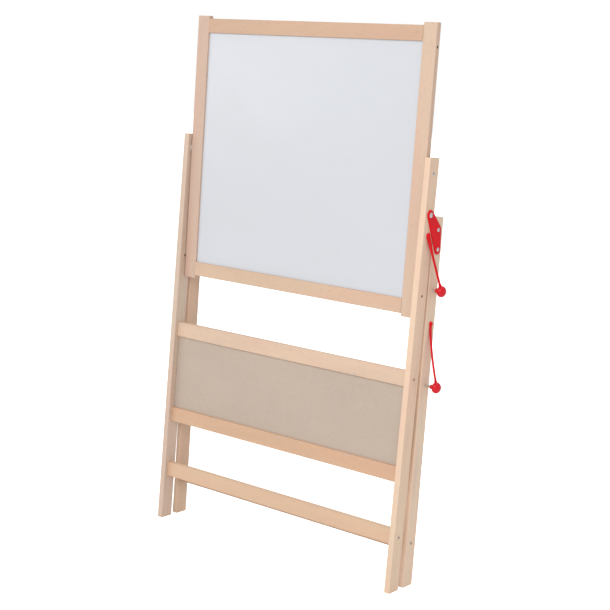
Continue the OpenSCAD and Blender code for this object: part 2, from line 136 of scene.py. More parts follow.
class Sheet:
    """Adds nodes to a shader tree and wires them."""

    def __init__(self, tree: bpy.types.NodeTree) -> None:
        """Takes the tree to fill."""
        self.tree = tree

    def add(self, kind: str, inputs: Inputs | None = None, **settings: object) -> bpy.types.Node:
        """Adds one node.

        Args:
            kind: The node's type, without its ShaderNode prefix.
            inputs: What each socket takes, either a value or another node's output.
            **settings: The node's own properties.

        Returns:
            The new node.
        """
        node = self.tree.nodes.new("ShaderNode" + kind)
        for name, value in settings.items():
            setattr(node, name, value)
        for key, value in (inputs or {}).items():
            self.feed(node.inputs[key], value)
        return node

    def feed(self, socket: bpy.types.NodeSocket, value: object) -> None:
        """Wires an output to a socket, or sets the socket's own value."""
        if isinstance(value, bpy.types.NodeSocket):
            self.tree.links.new(value, socket)
        else:
            socket.default_value = value

    def math(self, operation: str, *values: object) -> bpy.types.NodeSocket:
        """Adds a Math node and gives its result."""
        return self.add("Math", dict(enumerate(values)), operation=operation).outputs[0]

    def vector(self, operation: str, *values: object) -> bpy.types.NodeSocket:
        """Adds a Vector Math node and gives its vector result."""
        return self.add("VectorMath", dict(enumerate(values)), operation=operation).outputs[0]

    def dot(self, a: object, b: object) -> bpy.types.NodeSocket:
        """Gives the dot product of two vectors."""
        return self.add("VectorMath", {0: a, 1: b}, operation="DOT_PRODUCT").outputs["Value"]

    def noise(self, place: object, scale: float, detail: float = 2.0) -> bpy.types.NodeSocket:
        """Gives a noise value from 0 to 1, even in all directions of the given place."""
        node = self.add("TexNoise", {"Vector": place, "Scale": scale, "Detail": detail})
        return node.outputs[0]

    def band(self, value: object, low: float, high: float) -> bpy.types.NodeSocket:
        """Gives a mask that rises smoothly from 0 to 1 as the value goes from low to high."""
        inputs = {"Value": value, "From Min": low, "From Max": high}
        return self.add("MapRange", inputs, interpolation_type="SMOOTHSTEP").outputs[0]

    def spread(self, value: object, low: float, high: float) -> bpy.types.NodeSocket:
        """Spreads a value that runs from 0 to 1 over the range from low to high."""
        return self.add("MapRange", {"Value": value, "To Min": low, "To Max": high}).outputs[0]

    def mix(self, share: object, a: object, b: object) -> bpy.types.NodeSocket:
        """Mixes two colours, where a share of 1 gives the second."""
        node = self.add("Mix", data_type="RGBA")
        for index, value in ((0, share), (6, a), (7, b)):
            self.feed(node.inputs[index], value)
        return node.outputs[2]


def opaque(colour: Colour) -> tuple[float, float, float, float]:
    """Gives a colour with full alpha."""
    return (*colour, 1.0)


def toned(colour: Colour, share: float) -> tuple[float, float, float, float]:
    """Gives a colour made lighter or darker by a share, with full alpha."""
    return (colour[0] * share, colour[1] * share, colour[2] * share, 1.0)


class SharedEffect:
    """A shader node group with named inputs and outputs, which is built when first placed."""

    name = ""
    takes: dict[str, object] = {}
    gives: Sequence[str] = ()

    def wire(self, sheet: Sheet, given: bpy.types.Node) -> dict[str, bpy.types.NodeSocket]:
        """Builds the group's inside.

        Args:
            sheet: The sheet of the group's own tree.
            given: The node that carries the group's inputs.

        Returns:
            What goes out of each of the group's outputs.
        """
        raise NotImplementedError

    def tree(self) -> bpy.types.NodeTree:
        """Finds the group's tree, or builds it."""
        ready = bpy.data.node_groups.get(self.name)
        if ready:
            return ready
        tree = bpy.data.node_groups.new(self.name, "ShaderNodeTree")
        for name, value in self.takes.items():
            kind = "NodeSocketVector" if isinstance(value, tuple) else "NodeSocketFloat"
            tree.interface.new_socket(name, in_out="INPUT", socket_type=kind).default_value = value
        for name in self.gives:
            tree.interface.new_socket(name, in_out="OUTPUT", socket_type="NodeSocketFloat")
        sheet = Sheet(tree)
        given = tree.nodes.new("NodeGroupInput")
        result = tree.nodes.new("NodeGroupOutput")
        for name, value in self.wire(sheet, given).items():
            sheet.feed(result.inputs[name], value)
        return tree

    def place(self, sheet: Sheet, inputs: Inputs) -> bpy.types.NodeOutputs:
        """Places the group in a material.

        Args:
            sheet: The material's sheet.
            inputs: What each of the group's inputs takes.

        Returns:
            The group's outputs, by name.
        """
        node = sheet.tree.nodes.new("ShaderNodeGroup")
        node.node_tree = self.tree()
        for name, value in inputs.items():
            sheet.feed(node.inputs[name], value)
        return node.outputs


class TimberGrain(SharedEffect):
    """Growth rings, ray flecks, pores and end grain, in a piece whose grain runs along Z."""

    name = "timber_grain"
    takes = {"Place": (0.0, 0.0, 0.0), "Facing": (0.0, 0.0, 1.0), "Seed": 0.0}
    gives = ("Ring", "Fleck", "Patch", "Pore", "End")
    ring_pitch = 2.6 * MM
    pith = (0.11, 0.07, 0.0)

    def wire(self, sheet: Sheet, given: bpy.types.Node) -> dict[str, bpy.types.NodeSocket]:
        """Builds the group's inside, as SharedEffect says."""
        place, seed = given.outputs["Place"], given.outputs["Seed"]
        shift = sheet.add("CombineXYZ", {0: sheet.math("MULTIPLY", seed, 0.013), 2: seed})
        moved = sheet.vector("ADD", place, shift.outputs[0])
        long_way = sheet.vector("MULTIPLY", moved, (1.0, 1.0, 0.14))
        drift = sheet.math("MULTIPLY", sheet.noise(long_way, 11.0), 26 * MM)
        across = sheet.vector("MULTIPLY", sheet.vector("ADD", moved, self.pith), (1.0, 1.0, 0.0))
        radius = sheet.add("VectorMath", {0: across}, operation="LENGTH").outputs["Value"]
        turns = sheet.math("DIVIDE", sheet.math("ADD", radius, drift), self.ring_pitch)
        wave = sheet.math("SINE", sheet.math("MULTIPLY", turns, math.tau))
        ring = sheet.math("MULTIPLY_ADD", wave, 0.5, 0.5)
        faint = sheet.math("MULTIPLY", ring, sheet.band(sheet.noise(long_way, 34.0), 0.35, 0.7))
        fleck_way = sheet.vector("MULTIPLY", moved, (1.0, 1.0, 0.16))
        pore_way = sheet.vector("MULTIPLY", moved, (1.0, 1.0, 0.05))
        along = sheet.dot(given.outputs["Facing"], (0.0, 0.0, 1.0))
        return {
            "Ring": faint,
            "Fleck": sheet.band(sheet.noise(fleck_way, 620.0), 0.6, 0.72),
            "Patch": sheet.band(sheet.noise(long_way, 26.0, 3.0), 0.3, 0.7),
            "Pore": sheet.noise(pore_way, 1900.0, 3.0),
            "End": sheet.band(sheet.math("ABSOLUTE", along), 0.7, 0.9),
        }


class EdgeWearAndPaintedShade(SharedEffect):
    """Masks for the arrises, worn by handling, and a painted shade mask that darkens the insides of
    holes and grooves.
    """

    name = "edge_wear_and_painted_shade"
    takes = {"Place": (0.0, 0.0, 0.0), "Reach": 1.2 * MM}
    gives = ("Worn", "PaintedShade")

    def wire(self, sheet: Sheet, given: bpy.types.Node) -> dict[str, bpy.types.NodeSocket]:
        """Builds the group's inside, as SharedEffect says."""
        round_over = sheet.add("Bevel", {"Radius": given.outputs["Reach"]}, samples=4)
        facing = sheet.add("NewGeometry").outputs["Normal"]
        sharp = sheet.math("SUBTRACT", 1.0, sheet.dot(round_over.outputs[0], facing))
        patchy = sheet.spread(sheet.noise(given.outputs["Place"], 90.0, 3.0), 0.4, 1.3)
        # Ambient occlusion within the piece drives the painted shade in holes and grooves.
        shade_occlusion = sheet.add("AmbientOcclusion", {"Distance": 9 * MM}, samples=8, only_local=True)
        return {
            "Worn": sheet.math("MULTIPLY", sheet.band(sharp, 0.01, 0.16), patchy),
            "PaintedShade": sheet.math("SUBTRACT", 1.0, sheet.band(shade_occlusion.outputs["AO"], 0.15, 0.7)),
        }


class HandlingMarks(SharedEffect):
    """Broad smears and fine specks, as hands, cloths and dust leave on a smooth face."""

    name = "handling_marks"
    takes = {"Place": (0.0, 0.0, 0.0), "Scale": 1.0}
    gives = ("Smear", "Speck", "Ripple")

    def wire(self, sheet: Sheet, given: bpy.types.Node) -> dict[str, bpy.types.NodeSocket]:
        """Builds the group's inside, as SharedEffect says."""
        sized = sheet.vector("MULTIPLY", given.outputs["Place"], given.outputs["Scale"])
        swept = sheet.vector("MULTIPLY", sized, (0.45, 1.0, 1.0))
        return {
            "Smear": sheet.band(sheet.noise(swept, 9.0, 4.0), 0.35, 0.75),
            "Speck": sheet.band(sheet.noise(sized, 700.0, 1.0), 0.68, 0.76),
            "Ripple": sheet.noise(sized, 160.0, 1.0),
        }


GRAIN = TimberGrain()
WEAR_AND_PAINTED_SHADE = EdgeWearAndPaintedShade()
MARKS = HandlingMarks()


class Surface:
    """A new material with one Principled shader, ready to be wired."""

    def __init__(self, name: str, roughness: float, **constants: float) -> None:
        """Makes the material.

        Args:
            name: The material's name.
            roughness: The shader's plain roughness.
            **constants: Other sockets of the shader, with underscores for spaces.
        """
        self.material = bpy.data.materials.new(name)
        self.material.use_nodes = True
        self.sheet = Sheet(self.material.node_tree)
        self.shader = self.material.node_tree.nodes["Principled BSDF"]
        self.shader.inputs["Roughness"].default_value = roughness
        for socket, value in constants.items():
            self.shader.inputs[socket.replace("_", " ")].default_value = value
        self.coords = self.sheet.add("TexCoord")
        self.place = self.coords.outputs["Object"]

    def colour(self, value: object) -> None:
        """Feeds the base colour."""
        self.sheet.feed(self.shader.inputs["Base Color"], value)

    def roughness(self, value: object) -> None:
        """Feeds the roughness."""
        self.sheet.feed(self.shader.inputs["Roughness"], value)

    def relief(self, height: object, depth: float) -> None:
        """Raises the surface by a height from 0 to 1, times a depth in metres."""
        bump = self.sheet.add("Bump", {"Height": height, "Distance": depth})
        self.sheet.feed(self.shader.inputs["Normal"], bump.outputs[0])


# ---- Finishes ----


class GrainWay(Enum):
    """The way that a bar's grain runs: along its length."""

    UPRIGHT = 0.0
    ACROSS = math.pi / 2


@dataclass(frozen=True)
class Beech:
    """Planed beech under one thin coat of clear lacquer.

    Attributes:
        tone: The wood's own colour.
        way: The way that the grain runs.
        seed: Sets this bar's figure apart from its neighbours'.
        tilt: How far the bar leans back, in radians.
    """

    tone: Colour
    way: GrainWay
    seed: float
    tilt: float = 0.0

    def material(self, name: str) -> bpy.types.Material:
        """Builds the finish under a name."""
        made = Surface(name, roughness=0.46, Specular_IOR_Level=0.35)
        sheet = made.sheet
        turn = {"Rotation": (self.tilt, self.way.value, 0.0)}
        place = sheet.add("Mapping", {"Vector": made.place, **turn}, vector_type="POINT").outputs[0]
        own = made.coords.outputs["Normal"]
        facing = sheet.add("Mapping", {"Vector": own, **turn}, vector_type="NORMAL").outputs[0]
        grain = GRAIN.place(sheet, {"Place": place, "Facing": facing, "Seed": self.seed})
        red, green, blue = self.tone
        rosy = opaque((red * 1.02, green * 0.95, blue * 0.93))
        straw = opaque((red * 1.0, green * 1.02, blue * 0.98))
        body = sheet.mix(grain["Patch"], straw, rosy)
        ringed = sheet.mix(sheet.spread(grain["Ring"], 0.0, 0.55), body, toned(self.tone, 0.84))
        flecked = sheet.mix(sheet.spread(grain["Fleck"], 0.0, 0.5), ringed, toned(self.tone, 0.7))
        ended = sheet.mix(sheet.spread(grain["End"], 0.0, 0.7), flecked, toned(self.tone, 0.76))
        wear_and_shade = WEAR_AND_PAINTED_SHADE.place(sheet, {"Place": made.place})
        worn = sheet.mix(sheet.spread(wear_and_shade["Worn"], 0.0, 0.35), ended, toned(self.tone, 1.1))
        # Painted shade: the wood is darkened almost to black where ambient occlusion finds holes
        # and grooves.
        made.colour(sheet.mix(sheet.spread(wear_and_shade["PaintedShade"], 0.0, 0.92), worn, toned(self.tone, 0.1)))
        made.roughness(sheet.spread(grain["Pore"], 0.38, 0.56))
        made.relief(sheet.math("MULTIPLY_ADD", grain["Ring"], 0.4, grain["Pore"]), 0.06 * MM)
        return made.material


@dataclass(frozen=True)
class Hardboard:
    """Pressed fibre board with a smooth face.

    Attributes:
        tone: The board's colour.
        fibre_tone: The colour of the darker fibres in it.
    """

    tone: Colour
    fibre_tone: Colour

    def material(self, name: str) -> bpy.types.Material:
        """Builds the finish under a name."""
        made = Surface(name, roughness=0.6, Specular_IOR_Level=0.25)
        sheet = made.sheet
        felt = sheet.noise(made.place, 420.0, 5.0)
        streaky = sheet.vector("MULTIPLY", made.place, (1.0, 1.0, 0.12))
        streak = sheet.band(sheet.noise(streaky, 60.0, 3.0), 0.3, 0.75)
        marks = MARKS.place(sheet, {"Place": made.place, "Scale": 1.0})
        fibred = sheet.mix(sheet.band(felt, 0.42, 0.7), opaque(self.tone), opaque(self.fibre_tone))
        streaked = sheet.mix(sheet.spread(streak, 0.0, 0.45), fibred, toned(self.tone, 0.93))
        rubbed = sheet.mix(sheet.spread(marks["Smear"], 0.0, 0.5), streaked, toned(self.tone, 1.05))
        made.colour(rubbed)
        made.roughness(sheet.spread(felt, 0.52, 0.7))
        made.relief(felt, 0.08 * MM)
        return made.material


@dataclass(frozen=True)
class WhiteEnamel:
    """Dry-wipe enamel on thin steel sheet, faintly clouded by wiping.

    Attributes:
        tone: The enamel's colour.
        shade: The colour where wiping has left it cloudy.
    """

    tone: Colour
    shade: Colour

    def material(self, name: str) -> bpy.types.Material:
        """Builds the finish under a name."""
        made = Surface(name, roughness=0.2, Specular_IOR_Level=0.5)
        sheet = made.sheet
        marks = MARKS.place(sheet, {"Place": made.place, "Scale": 0.7})
        cloud = sheet.mix(marks["Smear"], opaque(self.tone), opaque(self.shade))
        dotted = sheet.mix(sheet.spread(marks["Speck"], 0.0, 0.06), cloud, toned(self.shade, 0.7))
        made.colour(dotted)
        made.roughness(sheet.spread(marks["Smear"], 0.17, 0.3))
        made.relief(marks["Ripple"], 0.02 * MM)
        return made.material


@dataclass(frozen=True)
class ChalkEnamel:
    """Matt chalk paint, with dust left by the sponge.

    Attributes:
        tone: The paint's colour.
        dust: The colour of the chalk dust.
    """

    tone: Colour
    dust: Colour

    def material(self, name: str) -> bpy.types.Material:
        """Builds the finish under a name."""
        made = Surface(name, roughness=0.82, Specular_IOR_Level=0.2)
        sheet = made.sheet
        marks = MARKS.place(sheet, {"Place": made.place, "Scale": 1.3})
        grit = sheet.noise(made.place, 1500.0, 2.0)
        dusty = sheet.math("MULTIPLY", marks["Smear"], sheet.band(grit, 0.35, 0.7))
        made.colour(sheet.mix(sheet.spread(dusty, 0.0, 0.16), opaque(self.tone), opaque(self.dust)))
        made.roughness(sheet.spread(grit, 0.74, 0.92))
        made.relief(grit, 0.05 * MM)
        return made.material


@dataclass(frozen=True)
class MouldedPlastic:
    """Coloured plastic straight from a polished mould.

    Attributes:
        tone: The plastic's colour.
        roughness: How dull its skin is.
        gloss: The strength of its reflections.
    """

    tone: Colour
    roughness: float
    gloss: float

    def material(self, name: str) -> bpy.types.Material:
        """Builds the finish under a name."""
        made = Surface(name, self.roughness, Specular_IOR_Level=self.gloss)
        sheet = made.sheet
        flow = sheet.noise(made.place, 55.0, 3.0)
        marks = MARKS.place(sheet, {"Place": made.place, "Scale": 6.0})
        swirled = sheet.mix(sheet.band(flow, 0.3, 0.75), opaque(self.tone), toned(self.tone, 0.88))
        worn = WEAR_AND_PAINTED_SHADE.place(sheet, {"Place": made.place, "Reach": 0.6 * MM})["Worn"]
        made.colour(sheet.mix(sheet.spread(worn, 0.0, 0.2), swirled, toned(self.tone, 1.18)))
        made.roughness(sheet.spread(marks["Smear"], self.roughness, self.roughness + 0.14))
        made.relief(marks["Ripple"], 0.03 * MM)
        return made.material


@dataclass(frozen=True)
class PlainMetal:
    """Plated or bare metal with fine turning marks.

    Attributes:
        tone: The metal's colour.
        roughness: How dull it is.
    """

    tone: Colour
    roughness: float

    def material(self, name: str) -> bpy.types.Material:
        """Builds the finish under a name."""
        made = Surface(name, self.roughness, Metallic=1.0)
        sheet = made.sheet
        drawn = sheet.vector("MULTIPLY", made.place, (0.1, 1.0, 1.0))
        lines = sheet.noise(drawn, 2600.0, 2.0)
        marks = MARKS.place(sheet, {"Place": made.place, "Scale": 8.0})
        made.colour(sheet.mix(marks["Smear"], opaque(self.tone), toned(self.tone, 0.82)))
        made.roughness(sheet.spread(lines, self.roughness - 0.06, self.roughness + 0.12))
        made.relief(lines, 0.01 * MM)
        return made.material


BOARD_PANEL = Hardboard((0.520, 0.400, 0.285), (0.36, 0.26, 0.17))
TRAY_PANEL = Hardboard((0.520, 0.426, 0.350), (0.455, 0.365, 0.295))
WHITEBOARD = WhiteEnamel((0.622, 0.638, 0.674), (0.608, 0.620, 0.650))
CHALKBOARD = ChalkEnamel((0.012, 0.016, 0.015), (0.50, 0.52, 0.52))
PLATE_RED = MouldedPlastic((0.780, 0.010, 0.018), 0.40, 0.10)
KNOB_RED = MouldedPlastic((0.720, 0.008, 0.020), 0.22, 0.3)
NYLON = MouldedPlastic((0.62, 0.61, 0.58), 0.45, 0.4)
ZINC = PlainMetal((0.72, 0.73, 0.75), 0.26)
BRASS = PlainMetal((0.74, 0.55, 0.26), 0.3)


# ---- Mesh building ----


def new_piece(name: str, mesh: bpy.types.Mesh, finish: bpy.types.Material) -> bpy.types.Object:
    """Puts a mesh in the scene under a name, in one finish and smoothly shaded."""
    mesh.materials.clear()
    mesh.materials.append(finish)
    piece = bpy.data.objects.new(name, mesh)
    bpy.context.scene.collection.objects.link(piece)
    for face in mesh.polygons:
        face.use_smooth = True
    LOG.info("made %s with %d faces", name, len(mesh.polygons))
    return piece


def skin(rings: Sequence[Sequence[Vector]], closed: bool = False) -> bpy.types.Mesh:
    """Joins rings of points into a skin.

    Args:
        rings: The rings, in order and with as many points each.
        closed: Whether the last ring joins the first. If not, both ends are capped.

    Returns:
        The skin, with its faces turned outwards.
    """
    work = bmesh.new()
    rows = [[work.verts.new(point) for point in ring] for ring in rings]
    pairs = list(zip(rows, rows[1:]))
    if closed:
        pairs.append((rows[-1], rows[0]))
    else:
        work.faces.new(rows[0])
        work.faces.new(rows[-1])
    for low, high in pairs:
        for i in range(len(low)):
            j = (i + 1) % len(low)
            work.faces.new((low[i], low[j], high[j], high[i]))
    bmesh.ops.recalc_face_normals(work, faces=work.faces)
    return finished(work)


def finished(work: bmesh.types.BMesh) -> bpy.types.Mesh:
    """Turns a work mesh into a mesh, and frees it."""
    mesh = bpy.data.meshes.new("piece")
    work.to_mesh(mesh)
    work.free()
    return mesh


def lathed(profile: Sequence[tuple[float, float]], steps: int = 48) -> bpy.types.Mesh:
    """Turns a closed profile about the X axis.

    Args:
        profile: The profile's points, each as its distance along the axis and its radius.
        steps: The number of steps in a full turn.

    Returns:
        The turned body.
    """
    angles = [math.tau * i / steps for i in range(steps)]
    rings = [[Vector((x, r * math.cos(a), r * math.sin(a))) for x, r in profile] for a in angles]
    return skin(rings, closed=True)


def joined(meshes: Sequence[bpy.types.Mesh]) -> bpy.types.Mesh:
    """Joins several meshes into one."""
    work = bmesh.new()
    for mesh in meshes:
        work.from_mesh(mesh)
    return finished(work)


def placed(mesh: bpy.types.Mesh, plane: LegPlane, side: int, spot: Vector) -> bpy.types.Mesh:
    """Moves a mesh to its place on a frame's outer face.

    Args:
        mesh: The mesh, with +X outwards, +Y back and +Z up the leg.
        plane: The plane of the frame.
        side: 1 on the right and -1 on the left, where the mesh is mirrored.
        spot: The place that the mesh's origin goes to, on the right.

    Returns:
        The same mesh in its place.
    """
    mesh.transform(Matrix.Translation(spot) @ Matrix.Rotation(-plane.tilt(), 4, "X"))
    if side < 0:
        mesh.transform(Matrix.Scale(-1, 4, OUTWARD))
        mesh.flip_normals()
    return mesh


def arc(middle: tuple[float, float], radius: float, start: float, end: float, steps: int) -> list:
    """Gives the points of an arc, with its angles in degrees."""
    angles = [math.radians(start + (end - start) * i / steps) for i in range(steps + 1)]
    return [(middle[0] + radius * math.cos(a), middle[1] + radius * math.sin(a)) for a in angles]


def eased(node: bpy.types.Object, ease: float) -> None:
    """Takes the sharp arrises off a bar's ends, grooves and holes."""
    weld = node.modifiers.new("weld", "WELD")
    weld.merge_threshold = 0.01 * MM
    bevel = node.modifiers.new("eased arrises", "BEVEL")
    bevel.width = ease
    bevel.segments = 2
    bevel.limit_method = "ANGLE"
    bevel.angle_limit = math.radians(60)
    bevel.use_clamp_overlap = True
    bevel.harden_normals = False


def dress(nodes: Sequence[str], finish: bpy.types.Material) -> None:
    """Gives CAD nodes a finish in all their slots."""
    for name in nodes:
        node = frame["nodes"][name]
        node.data.materials.clear()
        node.data.materials.append(finish)
        LOG.info("dressed %s in %s", name, finish.name)


# ---- Sub-assemblies ----


@dataclass
class Bar:
    """A wooden bar of the easel.

    Attributes:
        node: The bar's node.
        tone: Its own tone.
        way: The way that its grain runs.
        tilt: How far it leans back, in radians.
    """

    node: str
    tone: Colour
    way: GrainWay
    tilt: float

    def dress(self, seed: float) -> None:
        """Gives the bar its own beech."""
        finish = Beech(self.tone, self.way, seed, self.tilt).material("beech_" + self.node)
        dress([self.node], finish)
        eased(frame["nodes"][self.node], 0.5 * MM)


@dataclass
class FrontFrame:
    """The front legs, their rails and the panel between them."""

    plane: LegPlane
    seed: float = 1.0

    def bars(self) -> list[Bar]:
        """Lists the frame's bars, each with its own tone."""
        tilt = self.plane.tilt()
        return [
            Bar("front_leg_left", (0.640, 0.500, 0.405), GrainWay.UPRIGHT, tilt),
            Bar("front_leg_right", (0.800, 0.592, 0.446), GrainWay.UPRIGHT, tilt),
            Bar("panel_top_rail", (0.700, 0.515, 0.390), GrainWay.ACROSS, tilt),
            Bar("panel_bottom_rail", (0.650, 0.428, 0.287), GrainWay.ACROSS, tilt),
            Bar("front_stretcher", (0.700, 0.486, 0.340), GrainWay.ACROSS, tilt),
        ]

    def build(self) -> None:
        """Dresses the whole frame."""
        for index, bar in enumerate(self.bars()):
            bar.dress(self.seed + index * 0.37)
        dress(["front_panel"], TRAY_PANEL.material("panel_fibre"))
        dowels = Beech((0.64, 0.47, 0.34), GrainWay.ACROSS, self.seed + 5).material("beech_dowel")
        dress(["front_frame_dowels", "rear_frame_dowels", "board_dowels"], dowels)


@dataclass
class RearFrame:
    """The rear legs and their rails."""

    plane: LegPlane
    seed: float = 7.0

    def bars(self) -> list[Bar]:
        """Lists the frame's bars, each with its own tone."""
        tilt = self.plane.tilt()
        return [
            Bar("rear_leg_left", (0.660, 0.480, 0.355), GrainWay.UPRIGHT, tilt),
            Bar("rear_leg_right", (0.800, 0.613, 0.474), GrainWay.UPRIGHT, tilt),
            Bar("rear_middle_rail", (0.660, 0.470, 0.335), GrainWay.ACROSS, tilt),
            Bar("rear_stretcher", (0.640, 0.450, 0.320), GrainWay.ACROSS, tilt),
        ]

    def build(self) -> None:
        """Dresses the whole frame."""
        for index, bar in enumerate(self.bars()):
            bar.dress(self.seed + index * 0.41)


@dataclass
class TurningBoard:
    """The board: a wooden frame round a white sheet in front and a chalk sheet behind.

    Attributes:
        tilt: How far the board leans back, in radians.
        seed: Sets its bars' figure.
    """

    tilt: float = math.radians(0.2)
    seed: float = 13.0

    def bars(self) -> list[Bar]:
        """Lists the frame's bars, each with its own tone."""
        return [
            Bar("board_stile_left", (0.600, 0.432, 0.345), GrainWay.UPRIGHT, self.tilt),
            Bar("board_stile_right", (0.655, 0.475, 0.365), GrainWay.UPRIGHT, self.tilt),
            Bar("board_top_rail", (0.595, 0.405, 0.290), GrainWay.ACROSS, self.tilt),
            Bar("board_bottom_rail", (0.650, 0.465, 0.340), GrainWay.ACROSS, self.tilt),
        ]

    def build(self) -> None:
        """Dresses the whole board."""
        for index, bar in enumerate(self.bars()):
            bar.dress(self.seed + index * 0.43)
        dress(["board_core"], BOARD_PANEL.material("core_fibre"))
        dress(["white_sheet"], WHITEBOARD.material("dry_wipe_enamel"))
        dress(["chalk_sheet"], CHALKBOARD.material("chalk_paint"))


@dataclass
class Hardware:
    """The screws, bolts, staples, spacers, bushings and steel pins."""

    def build(self) -> None:
        """Dresses every metal and nylon node."""
        steel = [
            "panel_staples", "front_frame_screws", "rear_frame_screws", "board_pivot_bolts",
            "hinge_shoulder_screws", "hinge_plate_screws",
        ]
        steel += [f"{height}_pin_{side}" for height in ("upper", "lower") for side in SIDES]
        dress(steel, ZINC.material("zinc_plate"))
        dress(["board_pivot_spacers"], NYLON.material("white_nylon"))
        dress(["board_pivot_bushings"], BRASS.material("turned_brass"))


@dataclass
class HingePlate:
    """A red plate on a rear leg, which the front leg turns on.

    Attributes:
        plane: The rear frame's plane, with its origin on the hinge.
        finish: The plate's finish.
        corner_r: The radius of its three corners.
        upper_spot: The upper screw's place from the hinge, as back and up.
        lower_spot: The lower screw's place from the hinge, as back and up.
        rim_r: The radius of its rounded rim.
    """

    plane: LegPlane
    finish: bpy.types.Material
    corner_r: float = 10.5 * MM
    upper_spot: tuple[float, float] = (33 * MM, -31 * MM)
    lower_spot: tuple[float, float] = (37 * MM, -72 * MM)
    rim_r: float = 0.9 * MM

    def outline(self) -> list[tuple[float, float]]:
        """Gives the plate's outline: an arc round each of its three screws."""
        spots = [(0.0, 0.0), self.upper_spot, self.lower_spot]
        points = []
        for here, before, after in zip(spots, spots[-1:] + spots[:-1], spots[1:] + spots[:1]):
            start = math.atan2(here[1] - before[1], here[0] - before[0]) + math.pi / 2
            end = math.atan2(after[1] - here[1], after[0] - here[0]) + math.pi / 2
            if end > start:
                end -= math.tau
            points += arc(here, self.corner_r, math.degrees(start), math.degrees(end), 14)
        return points

    def slab(self, thickness: float) -> bpy.types.Mesh:
        """Builds the flat plate with its rounded rim and its screw holes."""
        curve = bpy.data.curves.new("plate_outline", "CURVE")
        curve.dimensions = "2D"
        curve.fill_mode = "BOTH"
        curve.extrude = thickness / 2 - self.rim_r
        curve.bevel_depth = self.rim_r
        curve.bevel_resolution = 4
        curve.offset = -self.rim_r
        holes = [arc(spot, r, 0, 345, 23) for spot, r in self.holes()]
        for points in [self.outline()] + holes:
            spline = curve.splines.new("POLY")
            spline.points.add(len(points) - 1)
            for point, (back, up) in zip(spline.points, points):
                point.co = (back, up, 0, 1)
            spline.use_cyclic_u = True
        drawn = bpy.data.objects.new("plate_outline", curve)
        bpy.context.scene.collection.objects.link(drawn)
        bpy.context.view_layer.update()
        shape = drawn.evaluated_get(bpy.context.evaluated_depsgraph_get())
        mesh = bpy.data.meshes.new_from_object(shape)
        bpy.data.objects.remove(drawn)
        stand_up = Matrix(((0, 0, 1, 0), (1, 0, 0, 0), (0, 1, 0, 0), (0, 0, 0, 1)))
        mesh.transform(stand_up)
        return mesh

    def holes(self) -> list[tuple[tuple[float, float], float]]:
        """Lists the place and radius of each screw's hole."""
        return [((0.0, 0.0), 4.4 * MM), (self.upper_spot, 2.4 * MM), (self.lower_spot, 2.4 * MM)]

    def boss(self, spot: tuple[float, float], inner: float, face: float) -> bpy.types.Mesh:
        """Builds the low raised ring round a screw's head.

        Args:
            spot: The screw's place, as back and up from the hinge.
            inner: The ring's inner radius.
            face: How far the plate's outer face is from the plate's middle.

        Returns:
            The ring, in its place on the plate.
        """
        wall, height = 1.5 * MM, 0.7 * MM
        crown = arc((face + height - 0.35 * MM, inner + wall / 2), wall / 2, -90, 90, 8)
        foot = [(face - 0.3 * MM, inner + wall), (face - 0.3 * MM, inner)]
        profile = [(face + (x - face) * 0.6, r) for x, r in crown] + foot
        ring = lathed(profile)
        ring.transform(Matrix.Translation((0, *spot)))
        return ring

    def build(self) -> None:
        """Builds both plates, each in place of its node."""
        for name, side in SIDES.items():
            node = "hinge_plate_" + name
            low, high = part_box(node)
            thickness = high.x - low.x
            middle = abs(low.x + high.x) / 2
            face = thickness / 2
            rings = [self.boss((0.0, 0.0), 6.2 * MM, face)]
            rings += [self.boss(s, 5.2 * MM, face) for s in (self.upper_spot, self.lower_spot)]
            mesh = joined([self.slab(thickness), *rings])
            placed(mesh, self.plane, side, self.plane.at(middle, 0, 0))
            plate = new_piece(f"hinge_plate_{name}_moulded", mesh, self.finish)
            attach(plate, "rear_frame")
            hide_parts(node)


